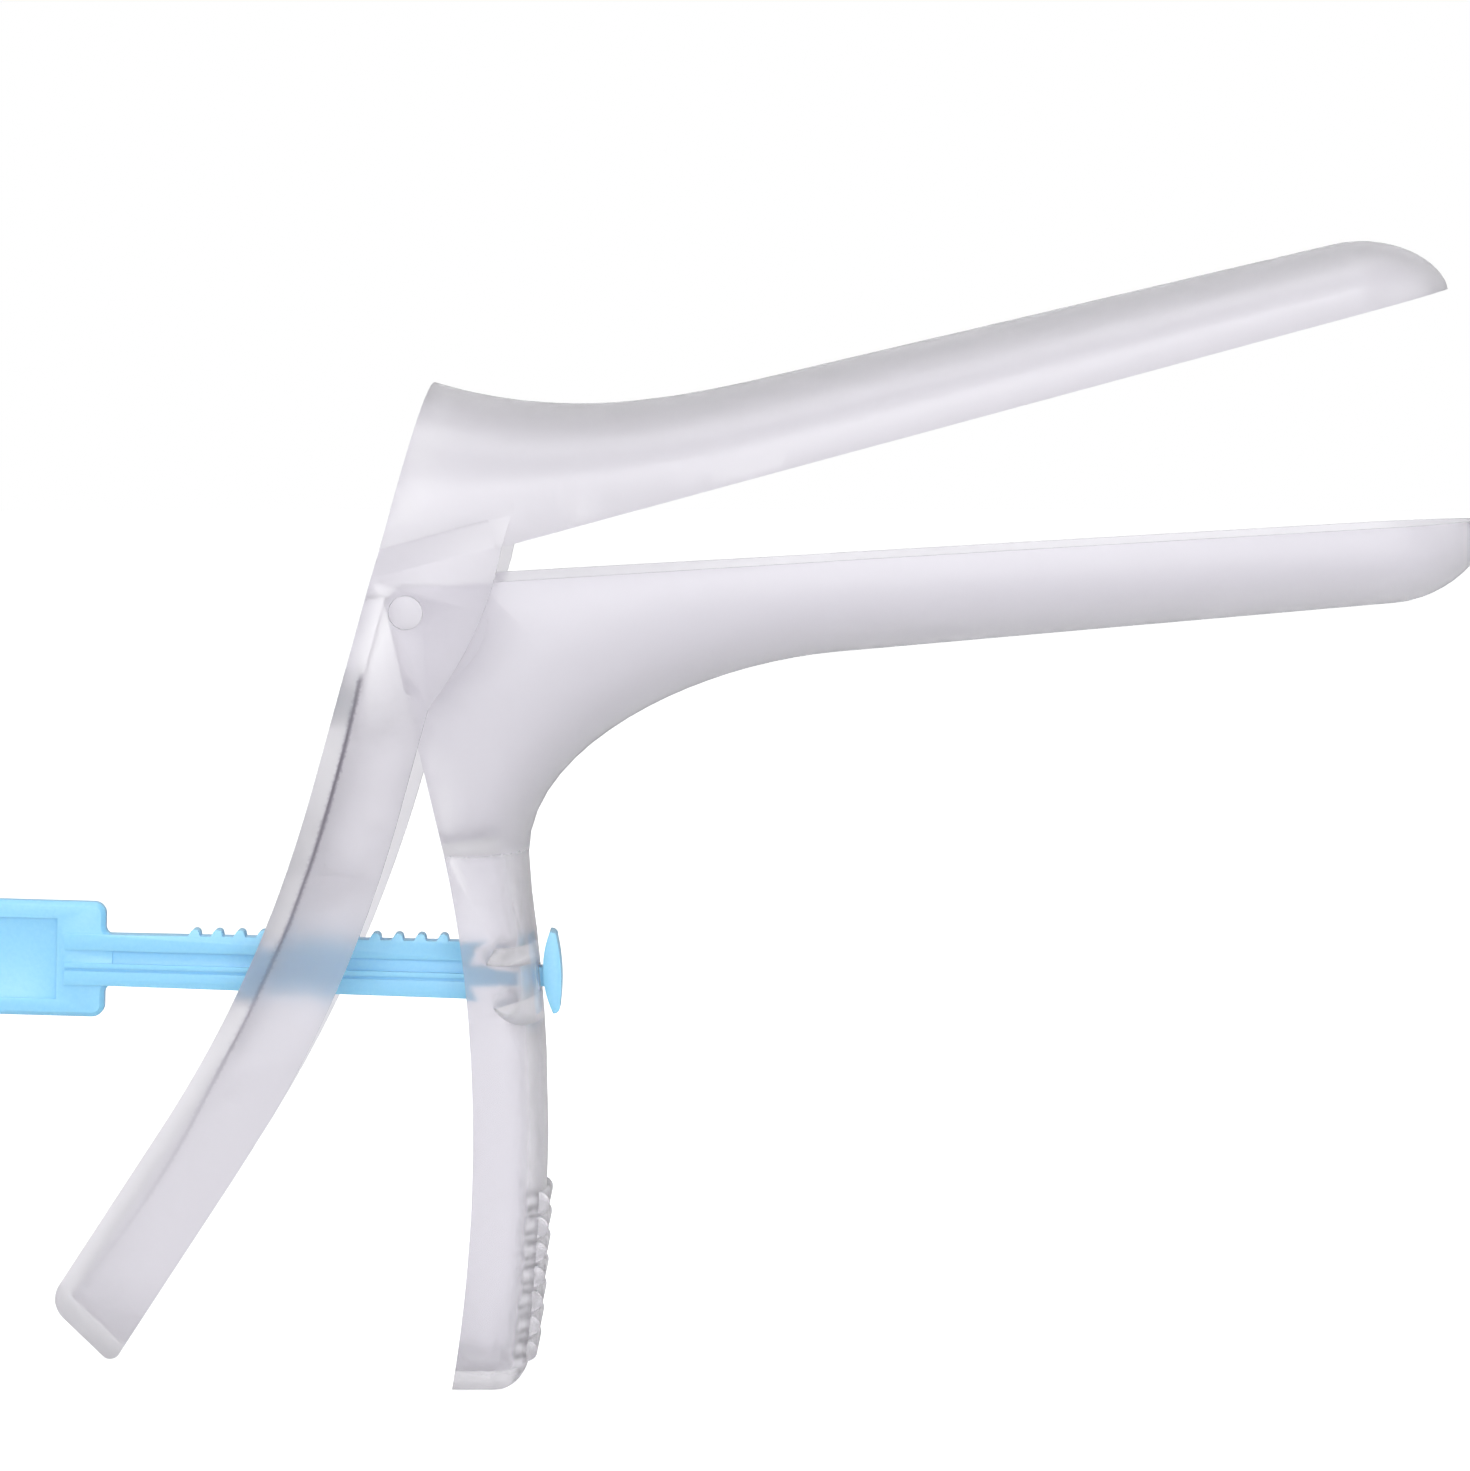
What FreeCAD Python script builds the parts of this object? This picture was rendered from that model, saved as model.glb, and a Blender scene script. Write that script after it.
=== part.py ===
import FreeCAD, Part
import math
import os

# Bivalve speculum, millimetres. X runs along the blades, Y across them, +Z is up.
# The origin is the middle of the flat foot under the front handle.
pivotX = -7.0
pivotZ = 89.2

# blades
bladeReach = 123.4
bladeTip = 11.4
tipPower = 1.8
tipShares = (0.3, 0.55, 0.75, 0.9, 0.98)
bladeWall = 1.5
bladeSide = 2.2
tipHalfWidth = 12.3
midHalfWidth = 13.9
midReach = 48.0
archFullness = 0.63
tubeOverrun = 4.0
lowerTilt = 3.36
restOpening = 11.75

# upper valve: blade and mouth, in the frame of its own rim
flareSteps = 8
upperRim = 4.2
upperTipDepth = 8.3
upperTaper = 0.034
mouthX = 8.85
mouthRise = 8.1
mouthPower = 2.85
mouthSide = 5.0
backLean = 30.8
foldTop = 7.4
foldBottom = 4.7
rimRoot = 12.2
rimStep = 0.7
earTopLap = 1.2
earTopReach = 2.0
earTopSlope = 0.6
flareStart = 0.28

# upper valve: ears and rear lever
earHalfWidth = 18.9
earWall = 1.6
earJoggle = 1.3
earFrontZ = -11.0
earBulge = 1.2
leverDepth = 10.0
leverWeb = 2.0
leverStraight = 46.0
leverBendRadius = 145.0
leverBend = 17.6
leverTail = 23.4
leverEndSlant = 11.0
leverHalfWidth = 12.3
leverTaperTop = -12.0
leverTaperBottom = -46.0
leverTaperEase = 0.45
leverCorner = 1.2
leverHeel = 3.0
notchBottom = -8.5
notchRib = 2.0
ribTop = 2.3
foldLap = 0.2

# lower valve
lowerRim = 2.75
lowerTipDepth = 9.0
lowerTaper = 0.029
handleHalfWidth = 9.4
handleWall = 1.6
handleFloor = 2.0
elbowX = 12.9
elbowZ = -28.5
elbowEntry = 17.0
elbowDrop = 12.0
elbowSteps = 18
throatEnd = -51.3
throatSteps = 5
elbowFull = 28.0
elbowNarrow = 34.0
elbowRise = 12.5
elbowMargin = 3.5
backMargin = 8.0
elbowCorner = 6
handleOverrun = 3.0
handleRise = 4.4
handleFullness = 0.66
handleFrontX = 15.05
handleBackX = 6.8
handleMiddle = -60.0
handleFrontRadius = 200.0
handleBackRadius = 170.0
handleToe = 3.5
handleSteps = 4
backEdgeX = 3.8
backEdgeZ = -27.5
earEdge = 2.37
noseShare = 0.92

# pivot
pinRadius = 1.85
pinClearance = 0.08
earGap = 0.3
padHeight = 0.4
padRadius = 9.0

# grip ridges on the front handle
ridgeCount = 7
ridgePitch = 2.86
ridgeFirst = -68.2
ridgeRadius = 1.2
ridgeHeight = 0.5
ridgeHalfWidth = 6.0

# ratchet strap, in its own frame with the head seat at the origin
headX = 14.0
headZ = -42.2
strapTilt = 1.6
strapThickness = 3.0
barStart = -6.9
barEnd = -50.0
barHeadHeight = 6.6
barTabHeight = 5.9
toothCount = 12
toothPitch = 2.6
toothFirst = -39.65
toothHeight = 0.8
toothBase = 1.5
toothShoulder = 0.6
toothSink = 0.2
grooveHeight = 1.5
grooveDepth = 0.6
grooveRise = 0.35
lineHeight = 0.35
lineDepth = 0.25
lineDrop = 1.15
tabLength = 13.6
tabHeight = 13.3
tabCorner = 1.4
tabChamfer = 1.2
tabBlend = 0.9
tabThickness = 2.4
tabRounding = 0.5
barLap = 4.6
recessMargin = 0.8
recessLength = 7.3
recessHeight = 9.3
recessDepth = 0.5
neckHeight = 2.2
neckDrop = 0.5
headHeight = 9.4
headThickness = 2.1
headEdge = 0.8
headHalfWidth = 2.6
headUnderRadius = 12.0
headGap = 0.56
headLean = 4.0

# strap seat in the front handle and slot in the lever
seatTop = -38.6
seatBottom = -47.6
seatRadius = 5.9
strapUp = 7.0
strapDown = 15.0
throatClearance = 0.45
slotClearance = 0.65
slotReach = 32.0
slotLean = 3.6
shelfZ = -26.7
shelfWall = 1.0
shelfRise = 1.2

Vector = FreeCAD.Vector
farOut = 200.0
farDown = -100.0
wide = 40.0
inner = 14.0
stripes = ((grooveDepth, grooveHeight, grooveRise), (lineDepth, lineHeight, -lineDrop))
mouthHalfWidth = earHalfWidth - earJoggle
padFace = earHalfWidth - earWall - earGap
lowerRootHalfWidth = padFace - padHeight


def turned(x, z, degrees):
    a = math.radians(degrees)
    return x * math.cos(a) - z * math.sin(a), x * math.sin(a) + z * math.cos(a)


def wireFrom(edges):
    return Part.Wire(Part.sortEdges(edges)[0])


def line(a, b):
    return Part.LineSegment(a, b).toShape()


def arc(a, b, c):
    return Part.Arc(a, b, c).toShape()


def sidePoint(x, z):
    return Vector(x, 0, z)


def polygon(points):
    return Part.makePolygon(points + points[:1])


def acrossY(wire, halfWidth):
    face = Part.Face(wire)
    face.translate(Vector(0, -halfWidth, 0))
    return face.extrude(Vector(0, 2 * halfWidth, 0))


def archWire(rimPoint, outward, halfWidth, side, rise, fullness):
    # A closed arch: straight sides up from the rim, then a crown; a fuller crown is squarer.
    def at(y, reach):
        return rimPoint + outward * (side + reach) + Vector(0, y, 0)

    poles = [at(halfWidth, 0), at(halfWidth, fullness * rise), at(fullness * halfWidth, rise),
             at(-fullness * halfWidth, rise), at(-halfWidth, fullness * rise), at(-halfWidth, 0)]
    crown = Part.BSplineCurve()
    crown.buildFromPolesMultsKnots(poles, [4, 2, 4], [0, 1, 2], False, 3)
    right = rimPoint + Vector(0, halfWidth, 0)
    left = rimPoint - Vector(0, halfWidth, 0)
    return Part.Wire([line(right, poles[0]), crown.toShape(), line(poles[-1], left), line(left, right)])


def blend(value):
    s = min(max(value, 0.0), 1.0)
    return s * s * (3 - 2 * s)


def bladeHalfWidth(u, rootHalfWidth):
    taper = (midHalfWidth - tipHalfWidth) / (bladeReach - bladeTip - midReach)
    flare = blend((midReach - u) / (midReach - mouthX))
    return midHalfWidth - taper * (max(u, midReach) - midReach) + (rootHalfWidth - midHalfWidth) * flare


def loftShell(outerSections, innerSections):
    # Wall between two lofts over the same stations.
    return Part.makeLoft(outerSections, True).cut(Part.makeLoft(innerSections, True))


def bladeShell(section, stations):
    # Flare, straight blade and rounded tip, each lofted on evenly spaced sections.
    parts = []
    for group in (stations, [stations[-1], tipStart]):
        parts.append(loftShell([section(u, 1.0, 0, 0) for u in group],
                               [section(u, 1.0, bladeWall, tubeOverrun) for u in group]))
    return parts + [tipShell(section)]


def tipShell(section):
    outer = [section(tipStart, 1.0, 0, 0)]
    hollow = [section(tipStart, 1.0, bladeWall, tubeOverrun)]
    for share in tipShares:
        shrink = (1 - share ** tipPower) ** (1 / tipPower)
        outer.append(section(tipStart + share * bladeTip, shrink, 0, 0))
        hollow.append(section(tipStart + share * (bladeTip - bladeWall), shrink, bladeWall, tubeOverrun))
    return loftShell(outer, hollow)


def upperSection(u, share, inset, over):
    flare = max(midReach - u, 0) / (midReach - mouthX)
    depth = upperTipDepth + upperTaper * (tipStart - min(u, tipStart)) + mouthRise * flare ** mouthPower
    side = bladeSide + (mouthSide - bladeSide) * blend(flare)
    half = bladeHalfWidth(u, mouthHalfWidth) - inset
    return archWire(sidePoint(u, upperRim - over), Vector(0, 0, 1), half * share, side * share + over,
                    (depth - side - inset) * share, archFullness)


tipStart = bladeReach - bladeTip
mouthDepth = upperTipDepth + upperTaper * (tipStart - mouthX) + mouthRise
mouthCorner = sidePoint(mouthX, upperRim + mouthDepth)


def turnedPoint(point, degrees):
    return sidePoint(*turned(point.x, point.z, degrees))


def leverFront(depth, tail):
    # The lever's profile at a distance in from its back face: line, arc, line.
    down = sidePoint(-math.sin(math.radians(backLean)), -math.cos(math.radians(backLean)))
    inward = sidePoint(math.cos(math.radians(backLean)), -math.sin(math.radians(backLean)))
    top = mouthCorner
    start = top + down * leverStraight + inward * depth
    centre = top + down * leverStraight - inward * leverBendRadius
    radius = leverBendRadius + depth
    middle = centre + turnedPoint(inward, -leverBend / 2) * radius
    end = centre + turnedPoint(inward, -leverBend) * radius
    tailDirection = turnedPoint(down, -leverBend)
    return start, middle, end, end + tailDirection * tail, tailDirection


def backPoint(z, depth):
    # A point on the straight back line at height z, moved in by depth.
    lean = math.radians(backLean)
    return sidePoint(mouthX - (mouthCorner.z - z) * math.tan(lean) + depth / math.cos(lean), z)


frontTail = leverTail + leverDepth * math.tan(math.radians(leverEndSlant))


def leverOutline():
    start, middle, end, tail, direction = leverFront(0, leverTail)
    fStart, fMiddle, fEnd, fTail, direction = leverFront(leverDepth, frontTail)
    nose = backPoint(earFrontZ, leverDepth)
    ear = sidePoint(rimRoot, upperRim)
    fold = sidePoint(rimRoot + earTopReach, foldTop)
    high = foldTop + earTopLap
    chord = (ear - nose).normalize()
    bulge = (ear + nose) * 0.5 + Vector(chord.z, 0, -chord.x) * earBulge
    edges = [line(backPoint(high, 0), start), arc(start, middle, end), line(end, tail), line(tail, fTail),
             line(fTail, fEnd), arc(fEnd, fMiddle, fStart), line(fStart, nose), arc(nose, bulge, ear),
             line(ear, fold), line(fold, sidePoint(fold.x + earTopSlope, high)),
             line(sidePoint(fold.x + earTopSlope, high), backPoint(high, 0))]
    return Part.Wire(edges)


def leverCavity():
    start, middle, end, tail, direction = leverFront(leverWeb, leverTail - leverWeb)
    high = foldTop + tubeOverrun
    slope = math.tan(math.radians(leverEndSlant))
    inward = sidePoint(-direction.z, direction.x)
    far = tail + inward * 3 * leverDepth + direction * 3 * leverDepth * slope
    mouthBack = backPoint(high, -leverDepth / 2)
    ribBack = backPoint(ribTop, -leverDepth / 2)
    ribFront = backPoint(ribTop, leverWeb)
    return Part.Wire([line(mouthBack, ribBack), line(ribBack, ribFront), line(ribFront, start),
                      arc(start, middle, end), line(end, tail), line(tail, far),
                      line(far, sidePoint(wide, far.z)), line(sidePoint(wide, far.z), sidePoint(wide, high)),
                      line(sidePoint(wide, high), mouthBack)])


def widthPrism(inset, foldInset):
    # The upper valve seen from behind: joggled ears above, then the taper to the lever.
    ear = earHalfWidth - inset
    narrow = leverHalfWidth - inset
    mouth = mouthHalfWidth - foldInset
    high = foldTop + 1.5 * tubeOverrun
    ease = (leverTaperTop - leverTaperBottom) * leverTaperEase

    def at(y, z):
        return Vector(-farOut / 2, y, z)

    edges = []
    for side in (1, -1):
        curve = Part.BezierCurve()
        curve.setPoles([at(side * ear, leverTaperTop), at(side * ear, leverTaperTop - ease),
                        at(side * narrow, leverTaperBottom + ease), at(side * narrow, leverTaperBottom)])
        edges += [line(at(side * mouth, high), at(side * mouth, foldTop)),
                  line(at(side * mouth, foldTop), at(side * ear, foldBottom)),
                  line(at(side * ear, foldBottom), at(side * ear, leverTaperTop)), curve.toShape(),
                  line(at(side * narrow, leverTaperBottom), at(side * narrow, farDown))]
    edges += [line(at(mouth, high), at(-mouth, high)), line(at(narrow, farDown), at(-narrow, farDown))]
    return Part.Face(wireFrom(edges)).extrude(Vector(farOut, 0, 0))


def upperValve():
    behindMouth = mouthX - midReach * flareStart
    stations = [behindMouth + (midReach - behindMouth) * i / flareSteps for i in range(flareSteps + 1)]
    parts = bladeShell(upperSection, stations)
    arch = parts[0].fuse(parts[1:])
    behind = polygon([backPoint(wide, 0), backPoint(-wide, 0),
                      sidePoint(-farOut, -wide), sidePoint(-farOut, wide)])
    arch = arch.cut(acrossY(behind, wide))
    earTop = foldTop + foldLap
    below = polygon([sidePoint(-wide, -wide), sidePoint(rimRoot - rimStep, -wide),
                     sidePoint(rimRoot - rimStep, earTop), sidePoint(-wide, earTop)])
    arch = arch.cut(acrossY(below, wide))

    back = acrossY(leverOutline(), wide)
    back = roundedAt(back, leverFront(0, leverTail)[3], leverHeel)
    back = roundedAt(back, leverFront(leverDepth, frontTail)[3], leverCorner)
    body = back.common(widthPrism(0, foldLap))
    cavity = acrossY(leverCavity(), wide).common(widthPrism(earWall, bladeWall - foldLap))
    body = body.cut(cavity).cut(mouthNotch())
    for side in (1, -1):
        start = Vector(0, side * inner, 0)
        body = body.cut(Part.makeCylinder(pinRadius + pinClearance, inner, start, Vector(0, side, 0)))
    return arch.fuse(body)


def roundedAt(solid, corner, radius):
    # Fillets the edge across the width that stands at this corner of the side view.
    chosen = []
    for edge in solid.Edges:
        ends = [sidePoint(v.Point.x, v.Point.z) for v in edge.Vertexes]
        if max((end - corner).Length for end in ends) < 0.1:
            chosen.append(edge)
    return solid.makeFillet(radius, chosen)


def mouthNotch():
    # The rounded bottom of the mouth, cut through the lever's web between two side ribs.
    half = earHalfWidth - earWall - notchRib
    high = ribTop + wide

    def at(y, z):
        return backPoint(z, -leverDepth / 2) + Vector(0, y, 0)

    edges = [line(at(half, high), at(half, 0)), arc(at(half, 0), at(0, notchBottom), at(-half, 0)),
             line(at(-half, 0), at(-half, high)), line(at(-half, high), at(half, high))]
    lean = math.radians(backLean)
    return Part.Face(Part.Wire(edges)).extrude(sidePoint(math.cos(lean), -math.sin(lean)) * inner)


def lowerPoint(u, v):
    return sidePoint(*turned(u, v, lowerTilt))


def elbowCurve():
    # The keel from the underside of the blade round to the front of the handle.
    drop = lowerTipDepth - lowerRim + lowerTaper * (tipStart - midReach)
    start = lowerPoint(midReach, -drop)
    entry = lowerPoint(midReach - elbowEntry, -drop - lowerTaper * elbowEntry)
    curve = Part.BezierCurve()
    curve.setPoles([start, entry, sidePoint(elbowX, elbowZ + elbowDrop), sidePoint(elbowX, elbowZ)])
    return curve


def handleFront(z):
    return handleFrontX - (z - handleMiddle) ** 2 / (2 * handleFrontRadius)


def handleBack(z):
    return handleBackX - (z - handleMiddle) ** 2 / (2 * handleBackRadius)


def lowerSection(u, share, inset, over):
    depth = lowerTipDepth + lowerTaper * (tipStart - min(u, tipStart))
    half = bladeHalfWidth(u, midHalfWidth) - inset
    return archWire(lowerPoint(u, lowerRim + over), lowerPoint(0, -1), half * share, bladeSide * share + over,
                    (depth - bladeSide - inset) * share, archFullness)


def elbowSection(keel, inward, travel, inset, over):
    # One section across the elbow or handle, `travel` along the keel from the straight blade.
    spread = blend(travel / elbowFull)
    narrow = blend((travel - elbowFull) / elbowNarrow)
    half = midHalfWidth + (lowerRootHalfWidth - midHalfWidth) * spread
    half += (handleHalfWidth - half) * narrow
    rise = lowerTipDepth + lowerTaper * (tipStart - midReach) - bladeSide
    rise += (elbowRise - rise) * spread
    rise += (handleRise - rise) * narrow
    fullness = archFullness + (handleFullness - archFullness) * narrow
    # The open side ends a little outside the rim and the back edge, rounded past the ear.
    backNormal = sidePoint(backEdgeZ, -backEdgeX).normalize()
    total = 0
    for normal, distance in ((lowerPoint(0, 1), lowerRim + elbowMargin), (backNormal, backMargin)):
        toward = inward.dot(normal)
        if toward > 0.02:
            total += (toward / (distance - keel.dot(normal))) ** elbowCorner
    reach = total ** (-1 / elbowCorner)
    return archWire(keel + inward * (reach + over), inward * -1, half - inset, reach + over - rise,
                    rise - inset, fullness)


def elbowPlaces():
    curve = elbowCurve()
    length = curve.length()
    places = []
    for share in [i / elbowSteps for i in range(elbowSteps + 1)]:
        t = curve.parameterAtDistance(length * share, 0)
        ahead = curve.tangent(t)[0]
        inward = sidePoint(ahead.z, -ahead.x) if share else lowerPoint(0, 1)
        places.append((curve.value(t), inward, length * share))
    for i in range(1, throatSteps + 1):
        z = elbowZ - (elbowZ - throatEnd) * i / throatSteps
        places.append((sidePoint(handleFront(z), z), sidePoint(-1, 0), length + elbowZ - z))
    return places


def handlePlaces(first, bottom):
    places = []
    for i in range(handleSteps + 1):
        z = first[0].z + (bottom - first[0].z) * i / handleSteps
        places.append((sidePoint(handleFront(z), z), sidePoint(-1, 0), first[2] + first[0].z - z))
    return places


def lowerOutline():
    # Rim, ear nose, back edge, handle back and foot, closed well outside the keel.
    foot = -pivotZ
    lean = math.asin(earEdge / math.hypot(backEdgeX, backEdgeZ)) + math.atan2(backEdgeX, -backEdgeZ)
    edgeNormal = sidePoint(-math.cos(lean), -math.sin(lean))
    rimNormal = lowerPoint(0, 1)
    noseRadius = earEdge * noseShare
    centre = rimNormal * (lowerRim - noseRadius) + edgeNormal * (earEdge - noseRadius)
    start = centre + rimNormal * noseRadius
    middle = centre + (rimNormal + edgeNormal).normalize() * noseRadius
    end = centre + edgeNormal * noseRadius
    bend = sidePoint(backEdgeX, backEdgeZ)
    back = sidePoint(handleBack(foot), foot)
    mid = 0.5 * (backEdgeZ + foot)
    toe = handleFront(foot)
    toeStart = sidePoint(toe - handleToe, foot)
    toeMiddle = sidePoint(toe - handleToe * 0.28, foot + handleToe * 0.28)
    toeEnd = sidePoint(toe + 0.1, foot + handleToe)
    outside = toeEnd + sidePoint(backMargin, backMargin)
    far = bladeReach + wide / 2
    return Part.Wire([line(lowerPoint(far, lowerRim), start), arc(start, middle, end), line(end, bend),
                      arc(bend, sidePoint(handleBack(mid), mid), back), line(back, toeStart),
                      arc(toeStart, toeMiddle, toeEnd), line(toeEnd, outside),
                      line(outside, sidePoint(far, elbowZ)),
                      line(sidePoint(far, elbowZ), lowerPoint(far, lowerRim))])


def seatWalls():
    # Two walls across the handle that hold the strap's neck, flared for its swing.
    inside = handleFront(headZ) - handleWall / 2
    walls = []
    for side, swing, edge in ((1, strapUp, seatTop), (-1, strapDown, seatBottom)):
        flare = math.tan(math.radians(swing))
        near = neckHeight / 2 + throatClearance - side * neckDrop
        lip = (math.sqrt(seatRadius ** 2 * (1 + flare ** 2) - near ** 2) - near * flare) / (1 + flare ** 2)
        outer = abs(edge - headZ)
        start = sidePoint(headX - lip, headZ + side * (near + flare * lip))
        end = sidePoint(headX - math.sqrt(seatRadius ** 2 - outer ** 2), edge)
        middle = start + end - sidePoint(2 * headX, 2 * headZ)
        middle = sidePoint(headX, headZ) + middle.normalize() * seatRadius
        front = sidePoint(inside, headZ + side * (near + flare * max(headX - inside, 0)))
        root = sidePoint(inside, edge)
        profile = Part.Wire([line(front, start), arc(start, middle, end), line(end, root), line(root, front)])
        walls.append(acrossY(profile, inner))
    return walls


def lowerValve():
    outline = acrossY(lowerOutline(), wide)
    elbow = elbowPlaces()
    foot = -pivotZ
    handleOuter = handlePlaces(elbow[-1], foot - handleFloor)
    handleInner = handlePlaces(elbow[-1], foot + handleFloor)
    outer = []
    shells = bladeShell(lowerSection, [midReach, 0.5 * (midReach + tipStart)])
    for outerPlaces, innerPlaces in ((elbow, elbow), (handleOuter, handleInner)):
        whole = [elbowSection(*place, 0, 0) for place in outerPlaces]
        hollow = [elbowSection(*place, bladeWall, handleOverrun) for place in innerPlaces]
        outer.append(Part.makeLoft(whole, True, True).common(outline))
        shells.append(outer[-1].cut(Part.makeLoft(hollow, True, True)))
    valve = shells[0]
    for shell in shells[1:]:
        valve = valve.fuse(shell)

    shelfTip = handleFront(elbowZ) - shelfWall * 3
    shelf = acrossY(polygon([sidePoint(0, shelfZ - shelfWall), sidePoint(shelfTip, shelfZ - shelfWall),
                             sidePoint(shelfTip, shelfZ + shelfRise), sidePoint(0, shelfZ)]), inner)
    for piece in [shelf] + seatWalls():
        valve = valve.fuse(piece.common(outer[0]))

    # bearing pads and pivot stubs on the ears
    for side in (1, -1):
        outward = Vector(0, side, 0)
        pad = Part.makeCylinder(padRadius, bladeWall, outward * (padFace - bladeWall), outward)
        stub = Part.makeCylinder(pinRadius, earHalfWidth - padFace + 1, outward * (padFace - 1), outward)
        valve = valve.fuse([pad.common(outline), stub])

    # throat for the strap's neck and the seat under its head
    middle = headZ - neckDrop
    halfThroat = neckHeight / 2 + throatClearance
    throat = Part.makeBox(10, strapThickness + 4 * throatClearance, 2 * halfThroat,
                          Vector(headX - 5, -strapThickness / 2 - 2 * throatClearance, middle - halfThroat))
    valve = valve.cut(throat)

    # grip ridges down the front of the handle
    for i in range(ridgeCount):
        z = ridgeFirst - i * ridgePitch
        x = handleFront(z) - ridgeRadius + ridgeHeight
        start = Vector(x, -ridgeHalfWidth, z)
        ridge = Part.makeCylinder(ridgeRadius, 2 * ridgeHalfWidth, start, Vector(0, 1, 0))
        behindWall = Vector(handleFront(z) - handleWall / 2 - inner, -inner, z - inner)
        valve = valve.fuse(ridge.cut(Part.makeBox(inner, 2 * inner, 2 * inner, behindWall)))
    return valve


def thumbTab(tabEnd, topTab):
    # A rounded plate, a little thinner than the bar that runs on over it to the thumb recess.
    half = tabHeight / 2
    wing = half - tabCorner
    root = topTab + tabBlend
    bend = tabCorner * (1 - math.sqrt(0.5))
    scoop = tabBlend * (1 - math.sqrt(0.5))
    edges = [line(sidePoint(tabEnd, half - tabChamfer), sidePoint(tabEnd, tabChamfer - half)),
             line(sidePoint(barEnd + tabBlend, -topTab), sidePoint(barEnd + tabBlend, topTab))]
    for side in (1, -1):
        def at(x, z):
            return sidePoint(x, side * z)
        edges += [arc(at(barEnd + tabBlend, topTab), at(barEnd + scoop, topTab + scoop), at(barEnd, root)),
                  line(at(barEnd, root), at(barEnd, wing)),
                  arc(at(barEnd, wing), at(barEnd - bend, half - bend), at(barEnd - tabCorner, half)),
                  line(at(barEnd - tabCorner, half), at(tabEnd + tabChamfer, half)),
                  line(at(tabEnd + tabChamfer, half), at(tabEnd, half - tabChamfer))]
    plate = acrossY(wireFrom(edges), tabThickness / 2)
    rims = [e for e in plate.Edges if abs(abs(e.CenterOfMass.y) - tabThickness / 2) < 0.01
            and e.BoundBox.XMax < barEnd + tabBlend - 0.01]
    plate = plate.makeChamfer(tabRounding, rims)
    lapCorner = Vector(barEnd - barLap, -strapThickness / 2, -topTab)
    lap = Part.makeBox(barLap, strapThickness, 2 * topTab, lapCorner)
    for side in (1, -1):
        for depth, height, middle in stripes:
            lap = lap.cut(sideCut(barEnd - barLap, barLap, side, strapThickness, depth, middle, height))
        recessStart = tabEnd + recessMargin
        plate = plate.cut(sideCut(recessStart, recessLength, side, tabThickness, recessDepth, 0, recessHeight))
    return plate.fuse(lap)


def sideCut(x, length, side, thickness, depth, middle, height):
    # A cut of this depth into one of the two side faces, centred at a height.
    corner = Vector(x, side * thickness / 2 - (depth if side > 0 else 0), middle - height / 2)
    return Part.makeBox(length, depth, height, corner)


def strap():
    # Bar with ratchet teeth, tab, neck and head, as one side profile with moulded recesses.
    topHead = barHeadHeight / 2
    topTab = barTabHeight / 2
    slope = (topHead - topTab) / (barStart - barEnd)

    def top(x):
        return topHead + slope * (x - barStart)

    endTop = math.sqrt(barStart ** 2 - topHead ** 2)
    edges = [arc(sidePoint(-endTop, -topHead), sidePoint(barStart, 0), sidePoint(-endTop, topHead)),
             line(sidePoint(-endTop, topHead), sidePoint(barEnd, topTab)),
             line(sidePoint(barEnd, topTab), sidePoint(barEnd, -topTab)),
             line(sidePoint(barEnd, -topTab), sidePoint(-endTop, -topHead))]
    bar = acrossY(Part.Wire(edges), strapThickness / 2)
    for side in (1, -1):
        for depth, height, middle in stripes:
            bar = bar.cut(sideCut(barEnd, barStart - barEnd, side, strapThickness, depth, middle, height))

    # one tooth: a rounded top between a sloping flank on the tab side and a steep one
    teeth = []
    for i in range(toothCount):
        x = toothFirst + i * toothPitch
        foot = top(x) - toothSink
        shoulder = top(x) + toothHeight * toothShoulder
        a = sidePoint(x - toothBase * 0.6, foot)
        b = sidePoint(x - toothBase * 0.32, shoulder)
        crown = sidePoint(x + toothBase * 0.05, top(x) + toothHeight)
        c = sidePoint(x + toothBase * 0.34, shoulder)
        d = sidePoint(x + toothBase * 0.44, foot)
        tooth = Part.Wire([line(a, b), arc(b, crown, c), line(c, d), line(d, a)])
        teeth.append(acrossY(tooth, strapThickness / 2))

    tab = thumbTab(barEnd - tabLength, topTab)
    neckFoot = -neckDrop - neckHeight / 2
    reach = headUnderRadius - math.sqrt(headUnderRadius ** 2 - headHeight ** 2 / 4)
    neck = Part.makeBox(-barStart + 1 + headGap + 0.8, strapThickness, neckHeight,
                        Vector(barStart - 1, -strapThickness / 2, neckFoot))
    end = sidePoint(headGap + reach, headHeight / 2)
    under = sidePoint(headGap, 0)
    dome = sidePoint(headGap + headThickness, 0)
    lip = end + sidePoint(headEdge, -headEdge)
    tip = (end + lip) * 0.5 + sidePoint(headEdge * 0.25, headEdge * 0.25)
    lowEnd, lowLip, lowTip = [sidePoint(point.x, -point.z) for point in (end, lip, tip)]
    profile = Part.Wire([arc(lowEnd, under, end), arc(end, tip, lip), arc(lip, dome, lowLip),
                         arc(lowLip, lowTip, lowEnd)])
    head = acrossY(profile, headHalfWidth)
    head.rotate(Vector(0, 0, 0), Vector(0, -1, 0), headLean)
    piece = bar.fuse(teeth + [tab, neck, head])
    piece.rotate(Vector(0, 0, 0), Vector(0, 1, 0), strapTilt)
    piece.translate(sidePoint(headX, headZ))
    return piece


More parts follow.
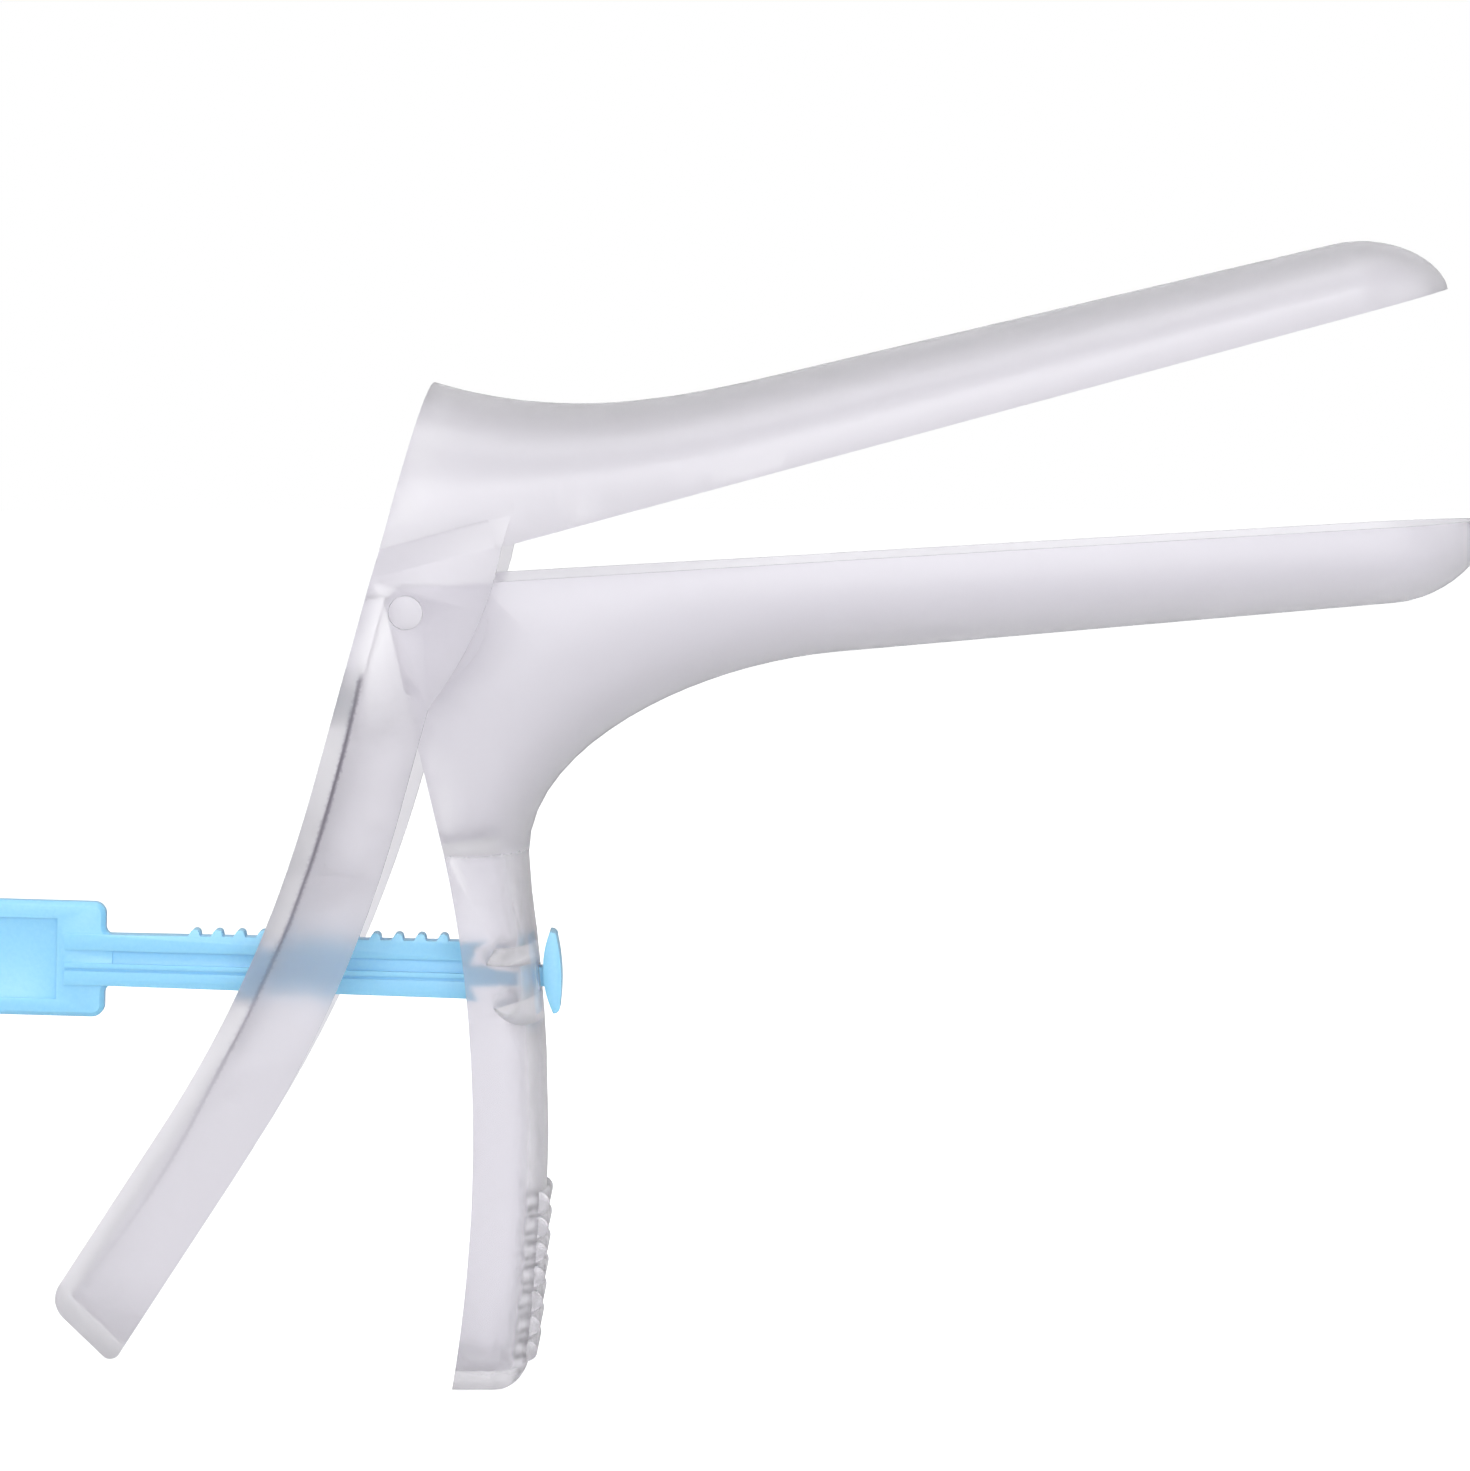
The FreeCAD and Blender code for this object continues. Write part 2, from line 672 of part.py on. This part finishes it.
def leverSlot():
    # The strap's slot in the lever's web, leaned to the middle of the strap's swing.
    along = slotReach / 3
    up = barHeadHeight / 2 + toothHeight + slotClearance
    down = barHeadHeight / 2 + slotClearance
    half = strapThickness / 2 + slotClearance
    slot = Part.makeBox(along, 2 * half, up + down, Vector(-along / 2, -half, -down))
    slot.rotate(Vector(0, 0, 0), Vector(0, 1, 0), strapTilt + slotLean)
    x, z = turned(-slotReach, 0, -strapTilt)
    slot.translate(sidePoint(headX + x, headZ + z))
    return slot


upper = upperValve()
lower = lowerValve()
ratchet = strap()
upper.rotate(Vector(0, 0, 0), Vector(0, -1, 0), lowerTilt + restOpening)
upper = upper.cut(leverSlot())
os.makedirs("parts", exist_ok=True)
for shape, name in ((upper, "upper_valve"), (lower, "lower_valve"), (ratchet, "ratchet_strap")):
    shape.translate(sidePoint(pivotX, pivotZ))
    solid = shape.Solids[0]
    print(name, len(shape.Solids), solid.isValid(), round(solid.Volume, 1))
    solid.exportStep("parts/" + name + ".step")
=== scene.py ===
import bmesh
import bpy
import math
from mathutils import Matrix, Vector


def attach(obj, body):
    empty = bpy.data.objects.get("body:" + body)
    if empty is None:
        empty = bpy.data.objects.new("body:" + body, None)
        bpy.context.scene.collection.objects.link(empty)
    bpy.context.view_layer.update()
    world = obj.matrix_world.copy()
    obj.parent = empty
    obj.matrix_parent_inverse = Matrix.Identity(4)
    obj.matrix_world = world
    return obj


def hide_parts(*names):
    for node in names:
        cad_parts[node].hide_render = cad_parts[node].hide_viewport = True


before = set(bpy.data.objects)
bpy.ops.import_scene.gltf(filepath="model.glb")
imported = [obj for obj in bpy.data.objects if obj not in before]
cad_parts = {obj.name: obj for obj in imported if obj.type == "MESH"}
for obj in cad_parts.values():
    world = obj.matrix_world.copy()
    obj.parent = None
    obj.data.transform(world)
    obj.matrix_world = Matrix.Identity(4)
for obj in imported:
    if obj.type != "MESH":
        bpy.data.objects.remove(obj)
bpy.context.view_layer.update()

mm = 0.001
white = (1, 1, 1, 1)


# Gives a node its inputs: a socket is linked, and anything else is set as a constant
def feed(tree, node, inputs):
    for name, source in inputs.items():
        if isinstance(source, bpy.types.NodeSocket):
            tree.links.new(source, node.inputs[name])
        else:
            node.inputs[name].default_value = source


def addNode(tree, kind, inputs, **settings):
    node = tree.nodes.new("ShaderNode" + kind)
    for name, value in settings.items():
        setattr(node, name, value)
    feed(tree, node, inputs)
    return node


def addMath(tree, operation, *sources):
    return addNode(tree, "Math", dict(enumerate(sources)), operation=operation).outputs[0]


def addRange(tree, value, ends, results=(0.0, 1.0), kind="LINEAR"):
    node = addNode(tree, "MapRange", {"Value": value}, interpolation_type=kind)
    feed(tree, node, dict(zip(("From Min", "From Max", "To Min", "To Max"), (*ends, *results))))
    return node.outputs["Result"]


def makeNodeGroup(name, inputs, outputs):
    group = bpy.data.node_groups.new(name, "ShaderNodeTree")
    for socketName, socketType, value in inputs:
        socket = group.interface.new_socket(name=socketName, in_out="INPUT", socket_type=socketType)
        if value is not None:
            socket.default_value = value
    for socketName, socketType in outputs:
        group.interface.new_socket(name=socketName, in_out="OUTPUT", socket_type=socketType)
    return group, group.nodes.new("NodeGroupInput").outputs, group.nodes.new("NodeGroupOutput")


# Mould texture: a fine spark-eroded grain and a slow waviness in the wall
def makeMouldTexture():
    group, given, result = makeNodeGroup(
        "mouldTexture",
        [("Vector", "NodeSocketVector", None), ("Grain Size mm", "NodeSocketFloat", 0.5),
         ("Wave Size mm", "NodeSocketFloat", 12.0), ("Grain", "NodeSocketFloat", 0.5)],
        [("Height", "NodeSocketFloat"), ("Speckle", "NodeSocketFloat")])
    grainScale = addMath(group, "DIVIDE", 1 / mm, given["Grain Size mm"])
    waveScale = addMath(group, "DIVIDE", 1 / mm, given["Wave Size mm"])
    grain = addNode(group, "TexNoise",
                    {"Vector": given["Vector"], "Scale": grainScale, "Detail": 3, "Roughness": 0.6})
    wave = addNode(group, "TexNoise", {"Vector": given["Vector"], "Scale": waveScale, "Detail": 1})
    height = addMath(group, "MULTIPLY_ADD", grain.outputs["Fac"], given["Grain"], wave.outputs["Fac"])
    feed(group, result, {"Height": height, "Speckle": grain.outputs["Fac"]})
    return group


# Frost that changes with height, from one roughness to another, and is a little uneven
def makeFrostByHeight():
    speckleEnds = (0.3, 0.7)
    unevenness = (0.93, 1.07)
    group, given, result = makeNodeGroup(
        "frostByHeight",
        [("Vector", "NodeSocketVector", None), ("Low Height", "NodeSocketFloat", 0.0),
         ("High Height", "NodeSocketFloat", 0.1), ("Low Frost", "NodeSocketFloat", 0.3),
         ("High Frost", "NodeSocketFloat", 0.3), ("Speckle", "NodeSocketFloat", 0.5)],
        [("Frost", "NodeSocketFloat")])
    split = addNode(group, "SeparateXYZ", {"Vector": given["Vector"]})
    frost = addRange(group, split.outputs["Z"], (given["Low Height"], given["High Height"]),
                     (given["Low Frost"], given["High Frost"]), "SMOOTHSTEP")
    uneven = addRange(group, given["Speckle"], speckleEnds, unevenness)
    feed(group, result, {"Frost": addMath(group, "MULTIPLY", frost, uneven)})
    return group


# A thin dark line of painted shade down a curved wall, standing in for the inner channel's edge seen
# through it. Its places are x and z in mm, seen from the side
def makePaintedShadeLine(values):
    lowX, lowZ = [value * mm for value in values["lowest"]]
    highX, highZ = [value * mm for value in values["highest"]]
    group, given, result = makeNodeGroup(
        "paintedShadeLine",
        [("Vector", "NodeSocketVector", None), ("Width mm", "NodeSocketFloat", 0.6),
         ("Depth", "NodeSocketFloat", 0.4), ("Speckle", "NodeSocketFloat", 0.5)],
        [("Tone", "NodeSocketFloat")])
    split = addNode(group, "SeparateXYZ", {"Vector": given["Vector"]})
    acrossWall, upWall = split.outputs["X"], split.outputs["Z"]

    # The height along the painted shade line gives its x there
    course = group.nodes.new("ShaderNodeFloatCurve")
    points = course.mapping.curves[0].points
    for x, z in values["places"]:
        points.new((z * mm - lowZ) / (highZ - lowZ), (x * mm - lowX) / (highX - lowX))
    course.mapping.update()
    feed(group, course, {"Value": addRange(group, upWall, (lowZ, highZ))})
    middleX = addRange(group, course.outputs["Value"], (0.0, 1.0), (lowX, highX))
    distance = addMath(group, "ABSOLUTE", addMath(group, "SUBTRACT", acrossWall, middleX))

    # The speckle widens and narrows the line, so its edge looks torn
    unevenWidth = addMath(group, "MULTIPLY", given["Width mm"], given["Speckle"])
    reach = addMath(group, "MULTIPLY", unevenWidth, mm)
    line = addRange(group, distance, (0.0, reach), (1.0, 0.0), "SMOOTHSTEP")

    # It starts at once at the top and fades slowly towards the foot
    belowTop = addRange(group, upWall, (highZ, highZ - values["start"] * mm))
    aboveFoot = addRange(group, upWall, (lowZ, lowZ + values["fade"] * mm))
    shown = addMath(group, "MULTIPLY", line, addMath(group, "MULTIPLY", belowTop, aboveFoot))
    darkness = addMath(group, "MULTIPLY", shown, given["Depth"])
    feed(group, result, {"Tone": addMath(group, "SUBTRACT", 1.0, darkness)})
    return group


mouldTexture = makeMouldTexture()
frostByHeight = makeFrostByHeight()


def newMaterial(name):
    material = bpy.data.materials.new(name)
    material.use_nodes = True
    return material, material.node_tree, material.node_tree.nodes["Principled BSDF"]


def addMouldTexture(tree, place, values):
    return addNode(tree, "Group", {
        "Vector": place,
        "Grain Size mm": values["grainSize"],
        "Wave Size mm": values["waveSize"],
        "Grain": values["grain"],
    }, node_tree=mouldTexture).outputs


def addBump(tree, height, values):
    inputs = {"Height": height, "Strength": values["bump"], "Distance": values["bumpDistance"] * mm}
    return addNode(tree, "Bump", inputs).outputs["Normal"]


# Clear plastic, milky with frost. A painted shade line, where there is one, darkens its colour
def makeClearPlastic(name, values, shadeLine=None):
    material, tree, shader = newMaterial(name)
    shader.inputs["Base Color"].default_value = values["colour"]
    shader.inputs["IOR"].default_value = values["ior"]
    shader.inputs["Transmission Weight"].default_value = values["clearness"]
    place = addNode(tree, "TexCoord", {}).outputs["Object"]
    texture = addMouldTexture(tree, place, values)
    frost = addNode(tree, "Group", {
        "Vector": place,
        "Low Height": values["lowHeight"] * mm,
        "High Height": values["highHeight"] * mm,
        "Low Frost": values["lowFrost"],
        "High Frost": values["highFrost"],
        "Speckle": texture["Speckle"],
    }, node_tree=frostByHeight)
    normal = addBump(tree, texture["Height"], values)
    feed(tree, shader, {"Roughness": frost.outputs["Frost"], "Normal": normal})
    if shadeLine:
        line = addNode(tree, "Group", {
            "Vector": place,
            "Width mm": shadeLine["width"],
            "Depth": shadeLine["depth"],
            "Speckle": texture["Speckle"],
        }, node_tree=makePaintedShadeLine(shadeLine))
        darkened = addNode(tree, "Mix", {
            "Factor": line.outputs["Tone"],
            "A": shadeLine["colour"],
            "B": values["colour"],
        }, data_type="RGBA")
        feed(tree, shader, {"Base Color": darkened.outputs["Result"]})
    return material


# Blue plastic: opaque, with a little light under the skin and a faint speckle in its tone
def makeBluePlastic(name, values):
    speckleInRoughness = 0.15
    material, tree, shader = newMaterial(name)
    shader.inputs["Subsurface Weight"].default_value = values["underSkin"]
    shader.inputs["Subsurface Radius"].default_value = values["underSkinSpread"]
    shader.inputs["Subsurface Scale"].default_value = values["underSkinDepth"] * mm
    place = addNode(tree, "TexCoord", {}).outputs["Object"]
    texture = addMouldTexture(tree, place, values)
    colour = addNode(tree, "Mix", {
        "Factor": texture["Speckle"],
        "A": values["shade"],
        "B": values["colour"],
    }, data_type="RGBA")
    smoothest = values["roughness"] * (1 - speckleInRoughness)
    roughest = values["roughness"] * (1 + speckleInRoughness)
    feed(tree, shader, {
        "Base Color": colour.outputs["Result"],
        "Roughness": addRange(tree, texture["Speckle"], (0.0, 1.0), (smoothest, roughest)),
        "Normal": addBump(tree, texture["Height"], values),
    })
    return material


# A moulding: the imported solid's surface, welded, with its real edges rounded and the rest smooth
def makeMoulding(node, body, material, values):
    weldDistance = 0.002 * mm
    flatAngle = math.radians(0.4)
    edgeAngle = math.radians(values["edgeAngle"])
    smoothAngle = math.radians(values["smoothAngle"])
    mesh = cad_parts[node].data.copy()
    surface = bmesh.new()
    surface.from_mesh(mesh)
    bmesh.ops.remove_doubles(surface, verts=surface.verts, dist=weldDistance)
    bmesh.ops.dissolve_limit(surface, angle_limit=flatAngle, verts=surface.verts, edges=surface.edges)
    sharp = [edge for edge in surface.edges if edge.is_manifold and edge.calc_face_angle(0.0) > edgeAngle]
    bmesh.ops.bevel(surface, geom=sharp, offset=values["rounding"] * mm, affect="EDGES", segments=2,
                    profile=0.5, material=-1, clamp_overlap=True, offset_type="OFFSET")
    for face in surface.faces:
        face.smooth = True
    for edge in surface.edges:
        edge.smooth = edge.calc_face_angle(0.0) < smoothAngle
    surface.to_mesh(mesh)
    surface.free()
    mesh.materials.clear()
    mesh.materials.append(material)
    piece = bpy.data.objects.new(node + "_moulding", mesh)
    bpy.context.collection.objects.link(piece)
    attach(piece, body)
    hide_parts(node)


# Heights, sizes and distances are in mm, and angles in degrees
upperValve = {
    "colour": (0.95, 0.935, 0.972, 1.0),
    "ior": 1.45,
    "clearness": 0.88,
    "lowHeight": 55,
    "highHeight": 90,
    "lowFrost": 0.37,
    "highFrost": 0.34,
    "grainSize": 0.45,
    "waveSize": 16,
    "grain": 0.05,
    "bump": 0.12,
    "bumpDistance": 0.5,
    "rounding": 0.22,
    "edgeAngle": 50,
    "smoothAngle": 32,
}
# Painted shade: a dark line on the lever wall where its inner channel's edge shows through
leverPaintedShade = {
    "highest": (-11.9, 82.6),
    "places": [(-15.0, 70.0), (-19.4, 56.9), (-22.3, 50.1), (-29.7, 35.2), (-35.3, 25.2)],
    "lowest": (-44.5, 12.5),
    "start": 1.0,
    "fade": 60,
    "width": 1.0,
    "depth": 0.75,
    "colour": (0.06, 0.03, 0.10, 1.0),
}
makeMoulding("upper_valve", "upper",
             makeClearPlastic("upperPlastic", upperValve, leverPaintedShade), upperValve)

# The handle is clearer than the blade, below the line of its inner shelf
lowerValve = {
    "colour": (0.93, 0.915, 0.955, 1.0),
    "ior": 1.45,
    "clearness": 0.88,
    "lowHeight": 60.5,
    "highHeight": 62.5,
    "lowFrost": 0.22,
    "highFrost": 0.35,
    "grainSize": 0.45,
    "waveSize": 16,
    "grain": 0.05,
    "bump": 0.10,
    "bumpDistance": 0.5,
    "rounding": 0.22,
    "edgeAngle": 50,
    "smoothAngle": 32,
}
makeMoulding("lower_valve", "lower",
             makeClearPlastic("lowerPlastic", lowerValve), lowerValve)

ratchetStrap = {
    "colour": (0.31, 0.66, 0.89, 1.0),
    "shade": (0.24, 0.59, 0.87, 1.0),
    "roughness": 0.34,
    "underSkin": 0.25,
    "underSkinSpread": (0.6, 0.9, 1.2),
    "underSkinDepth": 1.5,
    "grainSize": 0.5,
    "waveSize": 9,
    "grain": 0.5,
    "bump": 0.10,
    "bumpDistance": 0.3,
    "rounding": 0.3,
    "edgeAngle": 30,
    "smoothAngle": 40,
}
makeMoulding("ratchet_strap", "strap",
             makeBluePlastic("bluePlastic", ratchetStrap), ratchetStrap)
print("mouldings made")


# The studio's places, sizes and distances are in metres, and the lamps' powers in watts
studioFloor = {
    "radius": 4.0,
    "drop": 0.0005,
    "colour": (0.80, 0.80, 0.81, 1.0),
    "roughness": 0.9,
    "glowToCamera": 0.75,
    "nearGlow": 0.27,
    "farGlow": 0.5,
    "farDistance": 0.9,
}


def makeFloor(values):
    surface = bmesh.new()
    bmesh.ops.create_circle(surface, cap_ends=True, radius=values["radius"], segments=96)
    mesh = bpy.data.meshes.new("studioFloor")
    surface.to_mesh(mesh)
    surface.free()
    floor = bpy.data.objects.new("studioFloor", mesh)
    bpy.context.collection.objects.link(floor)
    floor.location.z = -values["drop"]
    material, tree, shader = newMaterial("paleFloor")
    shader.inputs["Base Color"].default_value = values["colour"]
    shader.inputs["Roughness"].default_value = values["roughness"]
    shader.inputs["Emission Color"].default_value = white
    paths = addNode(tree, "LightPath", {}).outputs
    place = addNode(tree, "TexCoord", {}).outputs["Object"]
    split = addNode(tree, "SeparateXYZ", {"Vector": place})

    # Seen through the plastic, the floor brightens with distance behind the object
    behind = addRange(tree, split.outputs["Y"], (0.0, values["farDistance"]),
                      (values["nearGlow"], values["farGlow"]))
    through = addMath(tree, "MULTIPLY", paths["Is Transmission Ray"], behind)
    glow = addMath(tree, "MULTIPLY_ADD", paths["Is Camera Ray"], values["glowToCamera"], through)
    feed(tree, shader, {"Emission Strength": glow})
    mesh.materials.append(material)


worldLight = {
    "strength": 0.42,
    "throughPlastic": 0.82,
    "toCamera": 1.0,
}


def makeWorld(values):
    world = bpy.data.worlds.new("paleStudio")
    bpy.context.scene.world = world
    world.use_nodes = True
    tree = world.node_tree
    background = tree.nodes["Background"]
    background.inputs["Color"].default_value = white
    paths = addNode(tree, "LightPath", {}).outputs
    onObject = addRange(tree, paths["Is Transmission Ray"], (0.0, 1.0),
                        (values["strength"], values["throughPlastic"]))
    level = addNode(tree, "Mix", {"Factor": paths["Is Camera Ray"], "A": onObject, "B": values["toCamera"]})
    feed(tree, background, {"Strength": level.outputs["Result"]})


middle = (0.03, 0, 0.08)
lamps = {
    "topPanel": {
        "place": (0, -0.25, 0.9), "target": middle, "size": (0.7, 0.5), "power": 3.0},
    "frontPanel": {
        "place": (-0.1, -1.6, 0.78), "target": (-0.1, 0, 0.3), "size": (1.8, 1.1), "power": 2.0},
    "frontStrip": {
        "place": (0.05, -1.16, 0.4), "target": (0.02, 0, 0.08), "size": (0.9, 0.25), "power": 3.3},
    "levelPanel": {
        "place": (-0.02, -0.62, 0.17), "target": (-0.02, 0, 0.17), "size": (0.5, 0.34), "power": 1.15},
    "sidePanel": {
        "place": (1, -0.2, 0.35), "target": middle, "size": (0.5, 0.5), "power": 1.2},
    "backPanel": {
        "place": (0.03, 1.3, 0.55), "target": middle, "size": (1.6, 0.7), "power": 1.2},
}


# Turns an object at a place so that its -Z axis points at a target
def aim(thing, place, target):
    thing.location = place
    thing.rotation_euler = (Vector(target) - Vector(place)).to_track_quat("-Z", "Y").to_euler()


def addLamp(name, values):
    light = bpy.data.lights.new(name, "AREA")
    light.shape = "RECTANGLE"
    light.size, light.size_y = values["size"]
    light.energy = values["power"]
    lamp = bpy.data.objects.new(name, light)
    bpy.context.collection.objects.link(lamp)
    aim(lamp, values["place"], values["target"])
    lamp.visible_transmission = False  # the room, and not the lamps, shows through the plastic


makeFloor(studioFloor)
makeWorld(worldLight)
for lampName, lampValues in lamps.items():
    addLamp(lampName, lampValues)
print("studio made")


# The camera looks along +Y from 580 mm, a little from above
productCamera = {
    "target": (0.02962, 0.0, 0.07423),
    "distance": 0.58,
    "elevation": 4.0,
    "pixelSize": 0.115,  # mm at the target
    "imageWidth": 1470,
    "sensorWidth": 36,
}


def makeCamera(values):
    camera = bpy.data.cameras.new("productCamera")
    holder = bpy.data.objects.new("productCamera", camera)
    bpy.context.collection.objects.link(holder)
    lean = math.radians(values["elevation"])
    target = Vector(values["target"])
    aim(holder, target + Vector((0, -math.cos(lean), math.sin(lean))) * values["distance"], target)
    camera.sensor_fit = "HORIZONTAL"
    camera.sensor_width = values["sensorWidth"]
    seenWidth = values["imageWidth"] * values["pixelSize"] * mm
    camera.lens = camera.sensor_width * values["distance"] / seenWidth
    bpy.context.scene.camera = holder


makeCamera(productCamera)
bpy.context.scene.view_settings.view_transform = "Standard"
